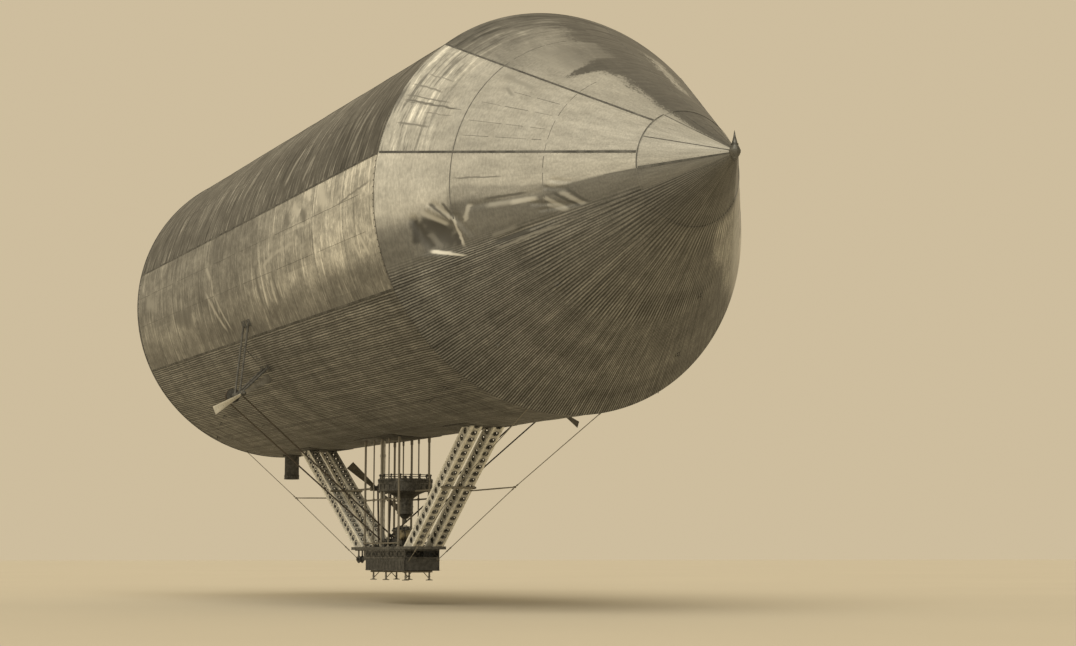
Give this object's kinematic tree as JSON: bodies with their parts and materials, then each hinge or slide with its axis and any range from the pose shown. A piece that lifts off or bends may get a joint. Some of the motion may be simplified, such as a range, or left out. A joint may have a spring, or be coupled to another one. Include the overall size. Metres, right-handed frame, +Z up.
{
  "type": "rigid airship with sheet metal hull",
  "caption": "Small rigid airship: cylindrical sheet metal hull with conical nose, open gondola hung on perforated box girders, belt-driven screws.",
  "frame": {"origin": "centre of lift on the hull's axis, 11.1 m behind the front rim of the barrel", "axes": "+X to the nose, +Y to port, +Z up"},
  "size_m": [34.41, 13.6384, 16.4836],
  "materials": {
    "hull_sheet": "weathered thin rolled sheet, lapped and riveted, softly reflecting",
    "girder": "pale dull sheet girders with punched holes",
    "dark_tube": "dark paint over tube",
    "dark_iron": "dark oily castings and plate",
    "screw_sheet": "sheet metal screw blades, dulled",
    "brass": "dulled brass tank",
    "belt": "dark drive belting"
  },
  "bodies": {
    "airship": {"hull_barrel": "hull_sheet", "nose_cone": "hull_sheet", "nose_cap": "hull_sheet", "rear_dome": "hull_sheet", "front_rim_band": "girder", "rear_rim_band": "girder", "nose_cap_band": "girder", "saddle_rear": "girder", "saddle_middle": "girder", "saddle_front": "girder", "leg_rear_starboard": "girder", "leg_rear_port": "girder", "leg_front_starboard": "girder", "leg_front_port": "girder", "gondola_lattice": "girder", "carrier_frame": "girder", "gas_pipe": "girder", "cage_starboard": "dark_tube", "cage_port": "dark_tube", "filling_neck": "dark_tube", "foot_rear": "dark_tube", "foot_middle": "dark_tube", "foot_front": "dark_tube", "outrigger_starboard": "dark_tube", "outrigger_port": "dark_tube", "rear_boom": "dark_tube", "front_boom": "dark_tube", "stay_front_starboard": "dark_tube", "stay_front_port": "dark_tube", "stay_rear_starboard": "dark_tube", "stay_rear_port": "dark_tube", "platform_deck": "dark_iron", "platform_ring": "dark_iron", "gear_column": "dark_iron", "gondola_tub": "dark_iron", "rear_bracket_starboard": "dark_iron", "rear_bracket_port": "dark_iron", "engine": "dark_iron", "shaft_bearing": "dark_iron", "screw_bearing": "dark_iron", "nose_finial": "dark_iron", "fuel_tank": "brass", "belt_starboard": "belt", "belt_port": "belt", "belt_centre": "belt"},
    "starboard_screw": {"screw_starboard": "screw_sheet", "screw_shaft_starboard": "dark_iron"},
    "port_screw": {"screw_port": "screw_sheet", "screw_shaft_port": "dark_iron"},
    "centre_screw": {"screw_centre": "screw_sheet", "screw_shaft_centre": "dark_iron"},
    "engine_shaft": {"crankshaft": "dark_iron"}
  },
  "joints": [
    {"name": "starboard_screw_spin", "type": "hinge", "parent": "airship", "child": "starboard_screw", "pos_m": [-0.5, -5.8, -4.55], "axis": [1, 0, 0], "continuous": true},
    {"name": "port_screw_spin", "type": "hinge", "parent": "airship", "child": "port_screw", "pos_m": [-0.5, 5.8, -4.55], "axis": [1, 0, 0], "continuous": true},
    {"name": "centre_screw_spin", "type": "hinge", "parent": "airship", "child": "centre_screw", "pos_m": [-3.08, 0, -7.45], "axis": [1, 0, 0], "continuous": true},
    {"name": "engine_shaft_spin", "type": "hinge", "parent": "airship", "child": "engine_shaft", "pos_m": [-1.37, 0, -9.38], "axis": [1, 0, 0], "continuous": true}
  ]
}
